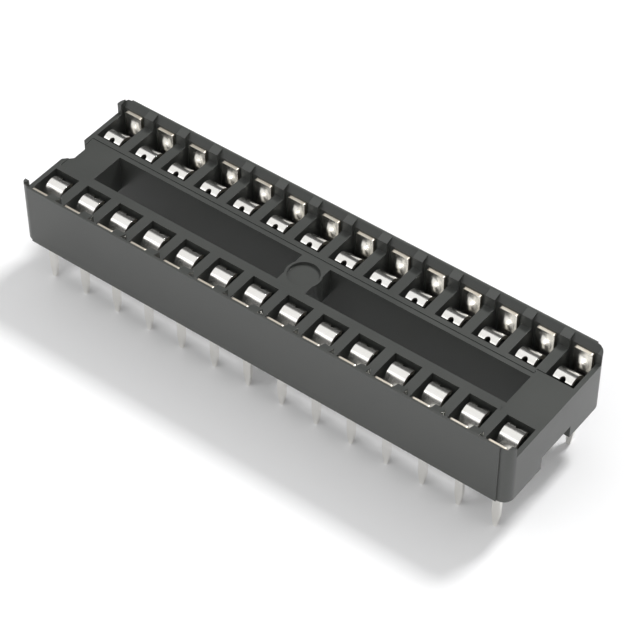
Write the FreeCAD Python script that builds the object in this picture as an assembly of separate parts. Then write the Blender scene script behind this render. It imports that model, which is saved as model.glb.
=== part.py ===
import FreeCAD, Part
import math
import os

V = FreeCAD.Vector

# Narrow dual-in-line IC socket, millimetres.
# +X runs along the rows, away from the notch; +Z is up; the origin is the centre of the
# footprint on the board, so the contacts' tails reach below zero.

# Grid of the package
pins_per_row = 14
pitch = 2.54
row_spacing = 7.62

# Heights above the board
deck_height = 3.56
rim_rise = 0.92
ledge_rise = 0.75
plate_rise = 0.49
floor_thickness = 0.5

# Moulded walls
cell_length = 1.87
end_wall = 0.3
outer_wall = 0.44
plate_pocket_depth = 0.25
rail_width = 0.68
window_half_width = 1.22
rim_crest = 0.2
cell_crest = 0.15
corner_radius = 0.7
corner_step = 0.1
foot_bevel_depth = 0.3
foot_bevel_height = 0.85

# Bridges between the two rows
middle_bridge = 2.05
middle_bridge_thickness = 2.05
end_bridge = 2.42
channel_depth = 0.06
channel_margin = 0.33
boss_radius = 1.15
ejector_radius = 1.0
ejector_depth = 0.22

# Polarity notch in the left end, and the arches under both ends
notch_depth = 0.53
notch_mouth = 2.1
notch_floor = 1.0
arch_height = 0.95
arch_width = 2.9

# Stamped contacts
strip = 0.25
leaf_width = 1.25
foot_width = 0.9
bow_start = 0.22
bow_gap = 0.15
bow_angle = 30.0
bow_radius = 0.7
flare_angle = 40.0
roll_radius = 0.65
roll_drop = 0.05
roll_turn = 40.0
nick_width = 0.38
nick_depth = 0.24
tail_width = 0.53
tail_length = 3.53
tail_taper = 0.95
tail_tip = 0.22
shoulder_width = 0.95
shoulder_height = 0.3
fit_gap = 0.03

# How far a cutting tool reaches past what it cuts
overrun = 1.0
cut_overlap = 0.01

# Worked out from the values above
row_y = row_spacing / 2
last_x = (pins_per_row - 1) * pitch / 2
half_length = last_x + cell_length / 2 + end_wall
cell_inner_y = window_half_width + rail_width
plate_outer_y = row_y + foot_width / 2 + strip
ledge_y = plate_outer_y - plate_pocket_depth
half_width = plate_outer_y + outer_wall
rim_top = deck_height + rim_rise
window_end = half_length - end_wall - end_bridge
channel_half = window_half_width + channel_margin
above = rim_top + overrun


def column_x(column):
    return (column - (pins_per_row - 1) / 2) * pitch


def prism_x(points, x_start, length):
    """A (y, z) outline extruded along X."""
    corners = [V(x_start, y, z) for y, z in points]
    face = Part.Face(Part.makePolygon(corners + corners[:1]))
    return face.extrude(V(length, 0, 0))


def prism_z(points, z_start, height):
    """An (x, y) outline extruded along Z."""
    corners = [V(x, y, z_start) for x, y in points]
    face = Part.Face(Part.makePolygon(corners + corners[:1]))
    return face.extrude(V(0, 0, height))


def prism_y(points, y_start, length):
    """An (x, z) outline extruded along Y."""
    corners = [V(x, y_start, z) for x, z in points]
    face = Part.Face(Part.makePolygon(corners + corners[:1]))
    return face.extrude(V(0, length, 0))


def box(x_low, x_high, y_low, y_high, z_low, z_high):
    return Part.makeBox(x_high - x_low, y_high - y_low, z_high - z_low, V(x_low, y_low, z_low))


def far_side(shape):
    """The same shape for the other row, mirrored across the XZ plane."""
    return shape.mirror(V(0, 0, 0), V(0, 1, 0))


def outer_block():
    """The outside of the moulding: rounded corners, set back a little from both long sides."""
    corner_y = half_width - corner_step
    block = box(-half_length, half_length, -corner_y, corner_y, 0, rim_top)
    uprights = [e for e in block.Edges if abs(e.tangentAt(e.FirstParameter).z) > 0.99]
    block = block.makeFillet(corner_radius, uprights)
    flat_end = half_length - corner_radius
    return block.fuse(box(-flat_end, flat_end, -half_width, half_width, 0, rim_top))


def foot_bevel():
    """What the bevel at the foot of the notched end takes away."""
    x_face, x_foot = -half_length, -half_length + foot_bevel_depth
    wedge = [(x_face, foot_bevel_height), (x_foot, 0), (x_face, 0)]
    return prism_y(wedge, -half_width - overrun, 2 * (half_width + overrun))


def trough():
    """The space above the deck, between the two rims, with a sloping ledge along each rim."""
    crest_y = half_width - rim_crest
    ledge_z = deck_height + ledge_rise
    section = [(-ledge_y, deck_height), (ledge_y, deck_height), (ledge_y, ledge_z), (crest_y, rim_top),
               (crest_y, above), (-crest_y, above), (-crest_y, rim_top), (-ledge_y, ledge_z)]
    return prism_x(section, -half_length - overrun, 2 * (half_length + overrun))


def cell(column):
    """One contact's cell in the near row: a deep pit whose outer wall thins to a bevelled crest."""
    crest_y = half_width - cell_crest
    plate_z = deck_height + plate_rise
    section = [(-cell_inner_y, floor_thickness), (-plate_outer_y, floor_thickness), (-plate_outer_y, plate_z),
               (-crest_y, rim_top), (-crest_y, above), (-cell_inner_y, above)]
    return prism_x(section, column_x(column) - cell_length / 2, cell_length)


def tail_slot(column):
    """The slot in the cell's floor that the tail and its shoulder stand in."""
    half_x = shoulder_width / 2 + fit_gap
    half_y = strip / 2 + fit_gap
    x = column_x(column)
    top = floor_thickness + cut_overlap
    return box(x - half_x, x + half_x, -row_y - half_y, -row_y + half_y, -overrun, top)


def window(side):
    """One of the two long openings between the rows, side -1 or 1."""
    x_near = side * middle_bridge / 2
    x_far = side * window_end
    low, high = min(x_near, x_far), max(x_near, x_far)
    return box(low, high, -window_half_width, window_half_width, -overrun, above)


def channel():
    """The shallow channel that the bridges and the rails' inner halves lie in."""
    x_low = -half_length + end_wall
    z_low = deck_height - channel_depth
    strip_part = box(x_low, window_end, -channel_half, channel_half, z_low, above)
    panel = box(window_end, half_length - end_wall, -cell_inner_y, cell_inner_y, z_low, above)
    return strip_part.fuse(panel)


def polarity_notch():
    x_mouth = -half_length
    x_floor = x_mouth + notch_depth
    x_clear = x_mouth - overrun
    points = [(x_clear, -notch_mouth / 2), (x_mouth, -notch_mouth / 2), (x_floor, -notch_floor / 2),
              (x_floor, notch_floor / 2), (x_mouth, notch_mouth / 2), (x_clear, notch_mouth / 2)]
    return prism_z(points, -overrun, above + overrun)


def under_cuts():
    """The arches under the ends, and the space under the middle bridge."""
    half_arch = arch_width / 2
    cuts = []
    for side in (-1, 1):
        low, high = sorted((side * (window_end - cut_overlap), side * (half_length + overrun)))
        cuts.append(box(low, high, -half_arch, half_arch, -overrun, arch_height))
    bridge_low = deck_height - middle_bridge_thickness
    reach = middle_bridge / 2 + cut_overlap
    cuts.append(box(-reach, reach, -window_half_width, window_half_width, -overrun, bridge_low))
    return cuts


def middle_boss():
    """The round boss that bulges past the middle bridge, round the ejector recess."""
    height = middle_bridge_thickness - channel_depth
    return Part.makeCylinder(boss_radius, height, V(0, 0, deck_height - middle_bridge_thickness))


def housing():
    body = outer_block()
    tools = [trough(), channel(), polarity_notch(), foot_bevel(), window(-1), window(1)]
    tools += under_cuts()
    for column in range(pins_per_row):
        for tool in (cell(column), tail_slot(column)):
            tools += [tool, far_side(tool)]
    body = body.cut(tools)
    body = body.fuse(middle_boss())
    pocket = Part.makeCylinder(ejector_radius, above, V(0, 0, deck_height - channel_depth - ejector_depth))
    body = body.cut(pocket)
    return body.removeSplitter()


class StripPath:
    """Walks the middle line of a bent strip in the (y, z) plane and keeps both its faces."""

    def __init__(self, y, z, heading, thickness):
        self.y, self.z = y, z
        self.heading = math.radians(heading)
        self.half = thickness / 2
        self.corners = [self.side_points(self.half)]
        self.arc_middles = []

    def side_points(self, reach):
        """The points at this distance to the left and right of the middle line."""
        step_y, step_z = -math.sin(self.heading) * reach, math.cos(self.heading) * reach
        return V(0, self.y + step_y, self.z + step_z), V(0, self.y - step_y, self.z - step_z)

    def line(self, length):
        self.y += math.cos(self.heading) * length
        self.z += math.sin(self.heading) * length
        self.arc_middles.append(None)
        self.corners.append(self.side_points(self.half))

    def bend(self, turn):
        """A sharp, mitred bend between two lines; it turns to the left when positive."""
        half_turn = math.radians(turn) / 2
        self.heading += half_turn
        self.corners[-1] = self.side_points(self.half / math.cos(half_turn))
        self.heading += half_turn

    def arc(self, radius, turn):
        """A round bend, which turns to the left when positive."""
        side = math.copysign(1, turn)
        centre_y = self.y - math.sin(self.heading) * radius * side
        centre_z = self.z + math.cos(self.heading) * radius * side
        middle, last = [self.step_round(centre_y, centre_z, radius * side, turn / 2) for _ in range(2)]
        self.arc_middles.append(middle)
        self.corners.append(last)

    def step_round(self, centre_y, centre_z, signed_radius, angle):
        self.heading += math.radians(angle)
        self.y = centre_y + math.sin(self.heading) * signed_radius
        self.z = centre_z - math.cos(self.heading) * signed_radius
        return self.side_points(self.half)

    def face_edges(self, face):
        """The edges of one face of the strip, 0 for the left and 1 for the right."""
        edges = []
        for first, middle, last in zip(self.corners, self.arc_middles, self.corners[1:]):
            if middle is None:
                curve = Part.LineSegment(first[face], last[face])
            else:
                curve = Part.Arc(first[face], middle[face], last[face])
            edges.append(curve.toShape())
        return edges

    def solid(self, width):
        ends = [Part.LineSegment(*self.corners[0]).toShape(), Part.LineSegment(*self.corners[-1]).toShape()]
        wire = Part.Wire(Part.__sortEdges__(self.face_edges(0) + self.face_edges(1) + ends))
        face = Part.Face(wire)
        face.translate(V(-width / 2, 0, 0))
        return face.extrude(V(width, 0, 0))


def sin_deg(angle):
    return math.sin(math.radians(angle))


def cos_deg(angle):
    return math.cos(math.radians(angle))


def leaves():
    """The outer plate, the foot on the cell's floor and the bowed, rolled inner leaf, as one strip."""
    plate_y = plate_outer_y - strip / 2
    inner_y = plate_y - foot_width
    bow_y = plate_y - strip - bow_gap
    foot_z = floor_thickness + strip / 2
    plate_top = deck_height + plate_rise
    path = StripPath(plate_y, plate_top, -90, strip)
    path.line(plate_top - foot_z)
    path.bend(-90)
    path.line(foot_width)
    path.bend(-90)
    path.line(bow_start)
    path.bend(-bow_angle)
    lean = bow_y - inner_y - bow_radius * (1 - cos_deg(bow_angle))
    path.line(lean / sin_deg(bow_angle))
    path.arc(bow_radius, bow_angle + flare_angle)
    crown_z = deck_height - roll_drop - strip / 2
    rise = crown_z - path.z - roll_radius * (1 - sin_deg(flare_angle))
    path.line(rise / cos_deg(flare_angle))
    path.arc(roll_radius, 90 - flare_angle + roll_turn)
    return path


def tail():
    """The flat tail, with a shoulder in the floor's slot and a tapered tip."""
    top = floor_thickness + strip / 2
    half, half_tip, half_shoulder = tail_width / 2, tail_tip / 2, shoulder_width / 2
    shoulder_low = floor_thickness - shoulder_height
    taper_start = -tail_length + tail_taper
    right = [(half_shoulder, top), (half_shoulder, shoulder_low), (half, shoulder_low), (half, taper_start),
             (half_tip, -tail_length)]
    outline = right + [(-x, z) for x, z in reversed(right)]
    corners = [V(x, row_y - strip / 2, z) for x, z in outline]
    face = Part.Face(Part.makePolygon(corners + corners[:1]))
    return face.extrude(V(0, strip, 0))


def lip_nick(lip):
    """The nick punched square through the lip: a half hexagon, which reads as round at this size."""
    half, short = nick_width / 2, nick_width / 4
    along = V(0, math.cos(lip.heading), math.sin(lip.heading))
    square = V(0, -math.sin(lip.heading), math.cos(lip.heading))
    outline = [(-half, strip), (half, strip), (half, 0), (short, -nick_depth), (-short, -nick_depth), (-half, 0)]
    start = V(0, lip.y, lip.z) - square * strip
    corners = [start + V(x, 0, 0) + along * step for x, step in outline]
    face = Part.Face(Part.makePolygon(corners + corners[:1]))
    return face.extrude(square * (2 * strip))


def contact_shape():
    """One stamped contact of the far row, centred on X = 0."""
    path = leaves()
    body = path.solid(leaf_width).cut(lip_nick(path))
    return body.fuse(tail()).removeSplitter()


def build():
    parts = {"housing": housing()}
    pattern = contact_shape()
    for number in range(1, 2 * pins_per_row + 1):
        near = number <= pins_per_row
        column = number - 1 if near else 2 * pins_per_row - number
        shape = far_side(pattern) if near else pattern.copy()
        shape.translate(V(column_x(column), 0, 0))
        parts["contact_%02d" % number] = shape
    return parts


def main():
    os.makedirs("parts", exist_ok=True)
    for name, shape in build().items():
        if not shape.isValid() or len(shape.Solids) != 1:
            raise ValueError("%s is not one valid solid" % name)
        shape.exportStep("parts/%s.step" % name)
        box_size = shape.BoundBox
        print(name, "volume %.3f" % shape.Volume, "x %.2f y %.2f z %.2f"
              % (box_size.XLength, box_size.YLength, box_size.ZLength))


main()
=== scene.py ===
import math
import bmesh
import bpy
from mathutils import Matrix, Vector


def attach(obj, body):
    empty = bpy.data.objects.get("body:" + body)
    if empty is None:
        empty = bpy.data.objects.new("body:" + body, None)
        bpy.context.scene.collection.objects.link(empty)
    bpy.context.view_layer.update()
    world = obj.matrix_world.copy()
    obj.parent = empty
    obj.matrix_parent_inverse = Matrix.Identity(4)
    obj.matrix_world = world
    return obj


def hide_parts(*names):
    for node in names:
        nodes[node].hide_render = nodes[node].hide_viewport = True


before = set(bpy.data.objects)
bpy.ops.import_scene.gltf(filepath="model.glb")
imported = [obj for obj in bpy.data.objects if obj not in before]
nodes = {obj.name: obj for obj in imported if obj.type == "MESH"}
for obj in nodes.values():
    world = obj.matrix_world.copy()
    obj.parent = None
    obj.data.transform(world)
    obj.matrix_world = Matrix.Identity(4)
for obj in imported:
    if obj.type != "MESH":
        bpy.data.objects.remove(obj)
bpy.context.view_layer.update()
mm = 0.001


class Wire:
    # wraps one output socket, so that sums on it add their Math nodes
    def __init__(self, tree, socket):
        self.tree, self.socket = tree, socket

    def maths(self, operation, *values):
        return addNode(self.tree, "ShaderNodeMath", {"operation": operation}, dict(enumerate(values)))

    def __add__(self, other):
        return self.maths("ADD", self, other)

    def __radd__(self, other):
        return self.maths("ADD", other, self)

    def __sub__(self, other):
        return self.maths("SUBTRACT", self, other)

    def __rsub__(self, other):
        return self.maths("SUBTRACT", other, self)

    def __mul__(self, other):
        return self.maths("MULTIPLY", self, other)

    def __rmul__(self, other):
        return self.maths("MULTIPLY", other, self)


def addNode(tree, kind, settings=None, inputs=None, output=0):
    node = tree.nodes.new(kind)
    for name, value in (settings or {}).items():
        setattr(node, name, value)
    for key, value in (inputs or {}).items():
        if isinstance(value, (Wire, list)):
            for wire in value if isinstance(value, list) else [value]:
                tree.links.new(wire.socket, node.inputs[key])
        else:
            node.inputs[key].default_value = value
    return Wire(tree, node.outputs[output]) if len(node.outputs) else None


def newMaterial(name):
    material = bpy.data.materials.new(name)
    material.use_nodes = True
    material.node_tree.nodes.clear()
    return material, material.node_tree


def finishMaterial(tree, shader):
    addNode(tree, "ShaderNodeOutputMaterial", None, {"Surface": shader})


def objectNoise(tree, scale, detail=3.0, stretch=(1, 1, 1)):
    place = addNode(tree, "ShaderNodeTexCoord", None, None, "Object")
    place = addNode(tree, "ShaderNodeMapping", None, {"Vector": place, "Scale": stretch})
    return addNode(tree, "ShaderNodeTexNoise", None,
                   {"Vector": place, "Scale": scale, "Detail": detail}, "Fac")


def mixColours(tree, share, first, second):
    # 6, 7 and 2 are the Mix node's colour sockets
    return addNode(tree, "ShaderNodeMix", {"data_type": "RGBA"}, {0: share, 6: first, 7: second}, 2)


plastic = {"dark": (0.050, 0.053, 0.050, 1), "light": (0.066, 0.069, 0.064, 1), "cloudScale": 260,
           "roughness": 0.34, "roughRange": 0.16,
           "grain": 0.12, "grainScale": 9000, "grainDetail": 2.0, "grainDepth": 0.02}
tin = {"bright": (0.95, 0.945, 0.93, 1), "dull": (0.84, 0.82, 0.77, 1), "roughness": 0.21,
       "stretch": (1, 1, 0.4)}
cutEdge = {"bright": (0.76, 0.73, 0.66, 1), "dull": (0.60, 0.53, 0.42, 1), "roughness": 0.45,
           "stretch": (2, 2, 2)}
metalClouds = {"scale": 700, "detail": 4.0, "roughRange": 0.1}


def mouldedPlastic():
    material, tree = newMaterial("mouldedPlastic")
    cloud = objectNoise(tree, plastic["cloudScale"])
    grain = objectNoise(tree, plastic["grainScale"], plastic["grainDetail"])
    bump = addNode(tree, "ShaderNodeBump", None,
                   {"Height": grain, "Strength": plastic["grain"], "Distance": plastic["grainDepth"] * mm})
    shader = addNode(tree, "ShaderNodeBsdfPrincipled", None,
                     {"Base Color": mixColours(tree, cloud, plastic["dark"], plastic["light"]),
                      "Roughness": plastic["roughness"] + (cloud - 0.5) * plastic["roughRange"],
                      "Normal": bump})
    finishMaterial(tree, shader)
    return material


def platedMetal(name, look):
    material, tree = newMaterial(name)
    cloud = objectNoise(tree, metalClouds["scale"], metalClouds["detail"], look["stretch"])
    shader = addNode(tree, "ShaderNodeBsdfPrincipled", None,
                     {"Base Color": mixColours(tree, cloud, look["bright"], look["dull"]),
                      "Roughness": look["roughness"] + (cloud - 0.5) * metalClouds["roughRange"],
                      "Metallic": 1.0})
    finishMaterial(tree, shader)
    return material


plasticFinish = mouldedPlastic()
tinFinish = platedMetal("tinPlate", tin)
cutFinish = platedMetal("cutCopperAlloy", cutEdge)
print("finishes made")


def addObject(name, data):
    thing = bpy.data.objects.new(name, data)
    bpy.context.scene.collection.objects.link(thing)
    return thing


def roundEdges(draft, piece):
    rounding = draft.modifiers.new("edges", "BEVEL")
    rounding.width = piece["edgeRound"] * mm
    rounding.segments = piece["edgeSteps"]
    rounding.angle_limit = math.radians(piece["edgeAngle"])
    rounding.harden_normals = True
    for face in draft.data.polygons:
        face.use_smooth = True


def bakeModifiers(source, name):
    graph = bpy.context.evaluated_depsgraph_get()
    mesh = bpy.data.meshes.new_from_object(source.evaluated_get(graph))
    result = addObject(name, mesh)
    bpy.data.objects.remove(source)
    return result


# the moulding is the CAD solid's own mesh, made of whole faces again, with its edges rounded
moulding = {"edgeRound": 0.045, "edgeSteps": 2, "edgeAngle": 32, "mergeGap": 0.0005, "flatAngle": 0.5}


def makeMoulding():
    mesh = nodes["housing"].data.copy()
    build = bmesh.new()
    build.from_mesh(mesh)
    bmesh.ops.remove_doubles(build, verts=build.verts, dist=moulding["mergeGap"] * mm)
    bmesh.ops.dissolve_limit(build, angle_limit=math.radians(moulding["flatAngle"]),
                             verts=build.verts, edges=build.edges)
    bmesh.ops.recalc_face_normals(build, faces=build.faces)
    build.to_mesh(mesh)
    build.free()
    if "custom_normal" in mesh.attributes:
        mesh.attributes.remove(mesh.attributes["custom_normal"])  # they belong to the old triangles
    draft = addObject("mouldingDraft", mesh)
    roundEdges(draft, moulding)
    result = bakeModifiers(draft, "socketMoulding")
    result.data.materials.clear()
    result.data.materials.append(plasticFinish)
    return result


socketMoulding = makeMoulding()
print("moulding made", len(socketMoulding.data.polygons))


# one strip: down the outer plate, across the foot, up the bowed inner leaf and over its roll
contact = {
    "pinsPerRow": 14, "pitch": 2.54, "rowSpacing": 7.62, "strip": 0.25, "leafWidth": 1.25,
    "plateTop": 3.94, "plateCorner": 0.1, "cornerZone": 0.4, "plateSteps": 14, "lowSteps": 2,
    "footTop": 0.75, "footWidth": 0.9, "footRound": 0.2, "footSteps": 3,
    "bowStart": 0.22, "bowGap": 0.15, "bowAngle": 30, "bowRound": 0.7, "bowSteps": 8,
    "kinkRound": 0.01, "kinkSteps": 2,
    "flareAngle": 40, "rollRound": 0.65, "rollTurn": 40, "crown": 3.51, "rollSteps": 14,
    "nickHalf": 0.19, "nickDepth": 0.24, "lipZone": 0.6,
    "bulgeTop": 3.72, "bulgePeak": 3.0, "bulgeLow": 1.7, "bulgeAside": -0.08, "bulgeHalf": 0.52,
    "bulgeRise": 0.17, "bulgeEaseAlong": 2, "bulgeEaseAcross": 1.5,
    "tailWidth": 0.53, "tailLow": -3.53, "tailTaper": 0.95, "tailTip": 0.22,
    "shoulderWidth": 0.95, "shoulderLow": 0.2,
    "edgeRound": 0.02, "edgeSteps": 2, "edgeAngle": 50,
    "columns": [0, 0.08, 0.14, 0.175, 0.19, 0.26, 0.34, 0.42, 0.5],  # out from the middle
    "edgeColumns": [0.08, 0.03, 0]}  # in from the strip's edge


class LeafPath:
    # the strip's middle line in the (y, z) plane, as close stations with their headings
    def __init__(self, y, z, heading):
        self.y, self.z, self.heading, self.run = y, z, math.radians(heading), 0.0
        self.stations = [(0.0, y, z, self.heading)]

    def move(self, length, turn):
        middle = self.heading + turn / 2
        chord = length if abs(turn) < 1e-9 else 2 * length / turn * math.sin(turn / 2)
        self.y += math.cos(middle) * chord
        self.z += math.sin(middle) * chord
        self.heading += turn
        self.run += length
        self.stations.append((self.run, self.y, self.z, self.heading))

    def line(self, length, steps=1):
        for _ in range(steps):
            self.move(length / steps, 0)

    def arc(self, radius, turn, steps):
        for _ in range(steps):
            self.move(radius * abs(math.radians(turn)) / steps, math.radians(turn) / steps)

    def at(self, run):
        run = min(max(run, 0), self.run)
        for a, b in zip(self.stations, self.stations[1:]):
            if run <= b[0] + 1e-12:
                part = (run - a[0]) / max(b[0] - a[0], 1e-12)
                return [a[i] + (b[i] - a[i]) * part for i in (1, 2, 3)]


def leafPath():
    c = contact
    plateY = c["rowSpacing"] / 2 + c["footWidth"] / 2 + c["strip"] / 2
    r = c["footRound"]
    footZ = c["footTop"] - c["strip"] / 2
    path = LeafPath(plateY, c["plateTop"], -90)
    path.line(c["plateTop"] - c["bulgeLow"], c["plateSteps"])
    path.line(c["bulgeLow"] - footZ - r, c["lowSteps"])
    path.arc(r, -90, c["footSteps"])
    path.line(c["footWidth"] - 2 * r)
    path.arc(r, -90, c["footSteps"])
    path.line(c["bowStart"] - r)
    bend = math.radians(c["bowAngle"])
    path.arc(c["kinkRound"], -c["bowAngle"], c["kinkSteps"])
    bowY = plateY - c["strip"] - c["bowGap"]
    lean = bowY - path.y - c["bowRound"] * (1 - math.cos(bend))
    path.line(lean / math.sin(bend))
    path.arc(c["bowRound"], c["bowAngle"] + c["flareAngle"], c["bowSteps"])
    flare = math.radians(c["flareAngle"])
    rise = c["crown"] - c["strip"] / 2 - path.z - c["rollRound"] * (1 - math.sin(flare))
    path.line(rise / math.cos(flare))
    path.arc(c["rollRound"], 90 - c["flareAngle"] + c["rollTurn"], c["rollSteps"])
    return path


def plateBulge(x, z):
    # how far the plate's pressed bulge stands out towards the inner leaf
    c = contact
    aside = abs(x - c["bulgeAside"]) / c["bulgeHalf"]
    if not c["bulgeLow"] < z < c["bulgeTop"] or aside >= 1:
        return 0.0
    end = c["bulgeTop"] if z > c["bulgePeak"] else c["bulgeLow"]
    along = math.cos(math.pi / 2 * (z - c["bulgePeak"]) / (end - c["bulgePeak"])) ** c["bulgeEaseAlong"]
    return c["bulgeRise"] * along * (1 - aside ** 2) ** c["bulgeEaseAcross"]


def leafPoint(path, x, run):
    # the strip's middle at x, drawn back for the nick and the plate's round corners
    c = contact
    lipStart = path.run - c["lipZone"]
    nick = c["nickDepth"] * math.sqrt(max(0, 1 - (x / c["nickHalf"]) ** 2))
    over = max(0, abs(x) - (c["leafWidth"] / 2 - c["plateCorner"]))
    corner = c["plateCorner"] - math.sqrt(max(0, c["plateCorner"] ** 2 - over * over))
    if run > lipStart:
        run = lipStart + (run - lipStart) * (path.run - nick - lipStart) / (path.run - lipStart)
    if run < c["cornerZone"]:
        run = corner + run * (c["cornerZone"] - corner) / c["cornerZone"]
    y, z, heading = path.at(run)
    y -= plateBulge(x, z) if run < c["plateTop"] - c["bulgeLow"] else 0
    return y, z, heading


def leafSides(build, path, across):
    # the strip's two faces as grids of points, one column for each place across it
    sides = ([], [])
    for x in across:
        columns = ([], [])
        for run, *_ in path.stations:
            y, z, heading = leafPoint(path, x, run)
            for side, column in zip((-1, 1), columns):
                reach = side * contact["strip"] / 2
                point = Vector((x, y - math.sin(heading) * reach, z + math.cos(heading) * reach)) * mm
                column.append(build.verts.new(point))
        for grid, column in zip(sides, columns):
            grid.append(column)
    return sides


def leafMesh(build, edgeLayer):
    half = contact["leafWidth"] / 2
    across = contact["columns"] + [half - inset for inset in contact["edgeColumns"]]
    across = sorted(set([-x for x in across] + across))
    path = leafPath()
    low, high = leafSides(build, path, across)
    width, length = len(across), len(path.stations)
    for i in range(width - 1):
        for k in range(length - 1):
            build.faces.new((low[i][k], low[i][k + 1], low[i + 1][k + 1], low[i + 1][k]))
            build.faces.new((high[i][k], high[i + 1][k], high[i + 1][k + 1], high[i][k + 1]))
    rim = [(i, 0) for i in range(width)] + [(width - 1, k) for k in range(1, length)]
    rim += [(i, length - 1) for i in range(width - 2, -1, -1)] + [(0, k) for k in range(length - 2, 0, -1)]
    for (i, k), (m, n) in zip(rim, rim[1:] + rim[:1]):
        face = build.faces.new((low[i][k], low[m][n], high[m][n], high[i][k]))
        face[edgeLayer] = 1


def tailMesh(build):
    c = contact
    row, half = c["rowSpacing"] / 2, c["strip"] / 2
    top = c["footTop"] - half
    right = [(c["shoulderWidth"] / 2, top), (c["shoulderWidth"] / 2, c["shoulderLow"]),
             (c["tailWidth"] / 2, c["shoulderLow"]), (c["tailWidth"] / 2, c["tailLow"] + c["tailTaper"]),
             (c["tailTip"] / 2, c["tailLow"])]
    outline = right + [(-x, z) for x, z in reversed(right)]
    front = [build.verts.new(Vector((x, row - half, z)) * mm) for x, z in outline]
    back = [build.verts.new(Vector((x, row + half, z)) * mm) for x, z in outline]
    build.faces.new(front)
    build.faces.new(back[::-1])
    for i in range(len(outline)):
        j = (i + 1) % len(outline)
        build.faces.new((front[i], back[i], back[j], front[j]))


def makeOneContact():
    build = bmesh.new()
    edgeLayer = build.faces.layers.int.new("cutFace")
    leafMesh(build, edgeLayer)
    tailMesh(build)
    bmesh.ops.recalc_face_normals(build, faces=build.faces)
    mesh = bpy.data.meshes.new("oneContact")
    build.to_mesh(mesh)
    build.free()
    draft = addObject("oneContactDraft", mesh)
    roundEdges(draft, contact)
    return bakeModifiers(draft, "oneContact")


def rowsTree():
    # sets the contact along the far row, and the same row turned half round as the near one
    tree = bpy.data.node_groups.new("contactRows", "GeometryNodeTree")
    kinds = {"Contact": "NodeSocketGeometry", "Pins per Row": "NodeSocketInt", "Pitch": "NodeSocketFloat",
             "Tin": "NodeSocketMaterial", "Cut Edge": "NodeSocketMaterial"}
    sockets = {name: tree.interface.new_socket(name, in_out="INPUT", socket_type=kind)
               for name, kind in kinds.items()}
    tree.interface.new_socket("Rows", in_out="OUTPUT", socket_type="NodeSocketGeometry")
    given = {name: addNode(tree, "NodeGroupInput", None, None, name) for name in sockets}
    first = (given["Pins per Row"] - 1.0) * -0.5 * given["Pitch"]
    start = addNode(tree, "ShaderNodeCombineXYZ", None, {"X": first})
    step = addNode(tree, "ShaderNodeCombineXYZ", None, {"X": given["Pitch"]})
    line = addNode(tree, "GeometryNodeMeshLine", {"mode": "OFFSET"},
                   {"Count": given["Pins per Row"], "Start Location": start, "Offset": step})
    farRow = addNode(tree, "GeometryNodeInstanceOnPoints", None,
                     {"Points": line, "Instance": given["Contact"]})
    nearRow = addNode(tree, "GeometryNodeTransform", None,
                      {"Geometry": farRow, "Rotation": (0, 0, math.pi)})
    both = addNode(tree, "GeometryNodeJoinGeometry", None, {"Geometry": [farRow, nearRow]})
    solid = addNode(tree, "GeometryNodeRealizeInstances", None, {"Geometry": both})
    plated = addNode(tree, "GeometryNodeSetMaterial", None, {"Geometry": solid, "Material": given["Tin"]})
    cut = addNode(tree, "GeometryNodeInputNamedAttribute", {"data_type": "INT"}, {"Name": "cutFace"})
    edged = addNode(tree, "GeometryNodeSetMaterial", None,
                    {"Geometry": plated, "Selection": cut, "Material": given["Cut Edge"]})
    addNode(tree, "NodeGroupOutput", None, {"Rows": edged})
    return tree, sockets


def makeContacts():
    draft = makeOneContact()
    tree, sockets = rowsTree()
    rows = draft.modifiers.new("rows", "NODES")
    rows.node_group = tree
    values = {"Pins per Row": contact["pinsPerRow"], "Pitch": contact["pitch"] * mm,
              "Tin": tinFinish, "Cut Edge": cutFinish}
    for name, value in values.items():
        rows[sockets[name].identifier] = value
    return bakeModifiers(draft, "sprungContacts")


sprungContacts = makeContacts()
print("contacts made", len(sprungContacts.data.polygons))

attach(socketMoulding, "root")
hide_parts("housing")
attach(sprungContacts, "root")
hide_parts(*[name for name in nodes if name.startswith("contact_")])


studio = {"floorZ": contact["tailLow"], "floorSize": 900, "floorCloud": 30, "floorLift": 0.09,
          "floorGrey": (0.91, 0.91, 0.915, 1), "floorPale": (0.93, 0.93, 0.935, 1),
          "sky": 0.08, "horizon": 0.85, "horizonTop": (0.14, 0.2)}

# glow is the brightness that a mirror shows
lamps = {"topLamp": {"place": (-30, -40, 260), "size": (520, 440), "turn": (0, 0, 0), "glow": 0.84},
         "frontLamp": {"place": (-70, -270, 190), "size": (540, 260), "turn": (55, 0, -14), "glow": 0.82},
         "sideLamp": {"place": (300, 40, 170), "size": (260, 400), "turn": (0, 60, 0), "glow": 0.1},
         "keyLamp": {"place": (60, 192, 346), "size": (70, 70), "turn": (-29, 9, 0), "glow": 58}}


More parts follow.
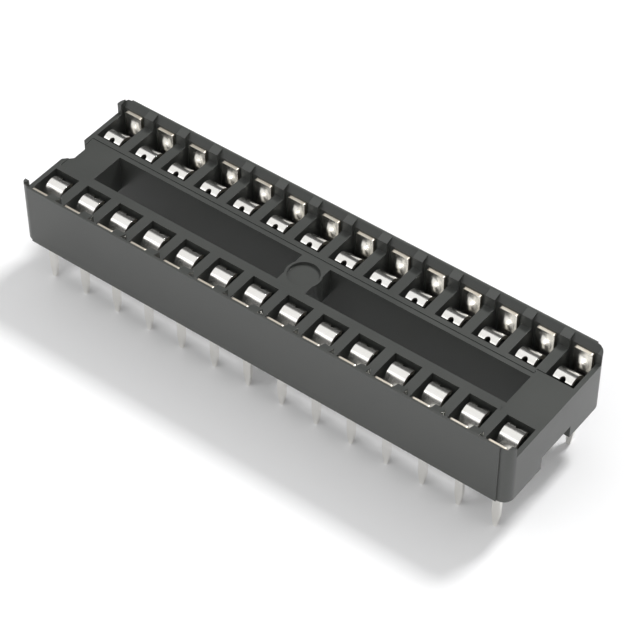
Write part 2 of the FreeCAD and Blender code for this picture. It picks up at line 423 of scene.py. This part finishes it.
def makeFloor():
    half = studio["floorSize"] / 2 * mm
    z = studio["floorZ"] * mm
    corners = [(-half, -half, z), (half, -half, z), (half, half, z), (-half, half, z)]
    mesh = bpy.data.meshes.new("floor")
    mesh.from_pydata(corners, [], [(0, 1, 2, 3)])
    material, tree = newMaterial("paleFloor")
    cloud = objectNoise(tree, studio["floorCloud"])
    matt = addNode(tree, "ShaderNodeBsdfDiffuse", None,
                   {"Color": mixColours(tree, cloud, studio["floorGrey"], studio["floorPale"])})
    # the lift shows to the eye and in reflections, and lights nothing
    seen, mirrored, through = [addNode(tree, "ShaderNodeLightPath", None, None, ray)
                               for ray in ("Is Camera Ray", "Is Glossy Ray", "Is Transmission Ray")]
    lift = addNode(tree, "ShaderNodeEmission", None,
                   {"Strength": (seen + mirrored + through) * studio["floorLift"]})
    finishMaterial(tree, addNode(tree, "ShaderNodeAddShader", None, {0: matt, 1: lift}))
    mesh.materials.append(material)
    return addObject("floor", mesh)


def addLamp(name, look):
    lamp = bpy.data.lights.new(name, "AREA")
    lamp.shape = "RECTANGLE"
    lamp.size, lamp.size_y = [side * mm for side in look["size"]]
    lamp.energy = look["glow"] * math.pi * lamp.size * lamp.size_y
    holder = addObject(name, lamp)
    holder.location = Vector(look["place"]) * mm
    holder.rotation_euler = [math.radians(angle) for angle in look["turn"]]


def lightWorld():
    # a dark sky over a pale band at the horizon
    world = bpy.data.worlds.new("studioWorld")
    world.use_nodes = True
    tree = world.node_tree
    tree.nodes.clear()
    direction = addNode(tree, "ShaderNodeTexCoord", None, None, "Generated")
    height = addNode(tree, "ShaderNodeSeparateXYZ", None, {"Vector": direction}, "Z")
    low, high = studio["horizonTop"]
    strength = addNode(tree, "ShaderNodeMapRange", None,
                       {"Value": height, "From Min": low, "From Max": high,
                        "To Min": studio["horizon"], "To Max": studio["sky"]})
    sky = addNode(tree, "ShaderNodeBackground", None, {"Color": (1, 1, 1, 1), "Strength": strength})
    addNode(tree, "ShaderNodeOutputWorld", None, {"Surface": sky})
    bpy.context.scene.world = world


floor = makeFloor()
for name, look in lamps.items():
    addLamp(name, look)
lightWorld()
print("studio made")


# fitted to edges, contacts and tails read off the photo
camera = {"place": (60.376, -78.647, 103.375), "lens": 136.01, "sensor": 36, "clipStart": 5,
          "right": (0.79858, 0.60189, 0.00077), "forward": (-0.4154, 0.55207, -0.72295)}


def placeCamera():
    lens = bpy.data.cameras.new("photoCamera")
    lens.sensor_width = camera["sensor"]
    lens.lens = camera["lens"]
    lens.clip_start = camera["clipStart"] * mm
    view = addObject("photoCamera", lens)
    right, back = Vector(camera["right"]).normalized(), -Vector(camera["forward"]).normalized()
    up = back.cross(right).normalized()
    turn = Matrix((right, up, back)).transposed().to_4x4()
    view.matrix_world = Matrix.Translation(Vector(camera["place"]) * mm) @ turn
    bpy.context.scene.camera = view


placeCamera()
bpy.context.scene.view_settings.view_transform = "Standard"
print("camera placed")
